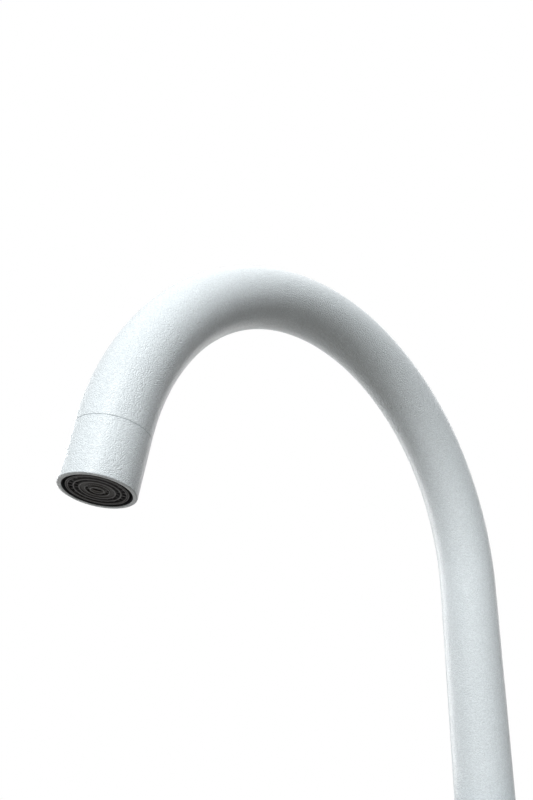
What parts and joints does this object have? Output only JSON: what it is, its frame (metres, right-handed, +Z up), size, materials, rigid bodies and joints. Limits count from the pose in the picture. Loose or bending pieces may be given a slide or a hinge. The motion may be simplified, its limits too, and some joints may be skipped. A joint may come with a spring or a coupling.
{
  "type": "kitchen mixer tap",
  "caption": "Single-lever kitchen mixer tap with a tall round-bend swivel spout, side lever, aerator outlet and under-worktop clamp, in a pale speckled coating.",
  "frame": {"origin": "middle of the tap hole on the worktop's upper face, which the base ring stands on", "axes": "+Z up along the body and the spout's swivel axis, -Y the way the spout reaches, +X the side on which the lever stands"},
  "size_m": [0.088, 0.271, 0.4252],
  "materials": {
    "coating": "pale grey-white speckled satin coating",
    "brass": "turned",
    "steel": "zinc-plated",
    "rubber": "matt",
    "black_plastic": "matt",
    "grey_plastic": "matt",
    "white_plastic": "matt",
    "ceramic": "lapped",
    "index_plastic": "gloss"
  },
  "bodies": {
    "tap": {"tap_body": "coating", "base_ring": "coating", "base_gasket": "rubber", "swivel_stop_screw": "steel", "spout_guide_ring": "black_plastic", "spout_wear_ring": "black_plastic", "cartridge_port_seal": "rubber", "cartridge_base": "white_plastic", "fixed_ceramic_disc": "ceramic", "cartridge_housing": "white_plastic", "cartridge_nut": "brass", "dome_cap": "coating", "clamp_gasket": "rubber", "clamp_plate": "steel", "fixing_nut": "brass", "fixing_stud": "steel"},
    "spout": {"spout_tube": "coating", "spout_connector": "brass", "spout_oring_upper": "rubber", "spout_oring_lower": "rubber", "outlet_nipple": "brass", "outlet_collar": "coating", "collar_seal": "rubber", "aerator_housing": "black_plastic", "aerator_face": "grey_plastic", "aerator_diffuser": "grey_plastic", "flow_regulator": "grey_plastic", "regulator_oring": "rubber", "filter_screen": "steel", "aerator_washer": "rubber"},
    "driver": {"cartridge_driver": "white_plastic", "lever_pin": "steel"},
    "carrier": {"disc_carrier": "white_plastic", "sliding_ceramic_disc": "ceramic"},
    "lever": {"lever_stem": "brass", "lever_hub": "coating", "lever_rod": "coating", "lever_set_screw": "steel", "hot_cold_plug": "index_plastic"}
  },
  "joints": [
    {"name": "spout_swivel", "type": "hinge", "parent": "tap", "child": "spout", "pos_m": [0, 0, 0.1], "axis": [0, 0, 1], "range_deg": [-75, 75]},
    {"name": "lever_turn", "type": "hinge", "parent": "tap", "child": "driver", "pos_m": [0.035, 0, 0.052], "axis": [1, 0, 0], "range_deg": [-45, 45]},
    {"name": "lever_lift", "type": "hinge", "parent": "driver", "child": "lever", "pos_m": [0.035, 0, 0.052], "axis": [0, 1, 0], "range_deg": [0, 25]},
    {"name": "disc_slide", "type": "slide", "parent": "driver", "child": "carrier", "axis": [0, 0, 1], "range_m": [0, 0.0029]}
  ],
  "couplings": [
    {"joint": "disc_slide", "follows": "lever_lift", "m_per_rad": 0.0065}
  ]
}
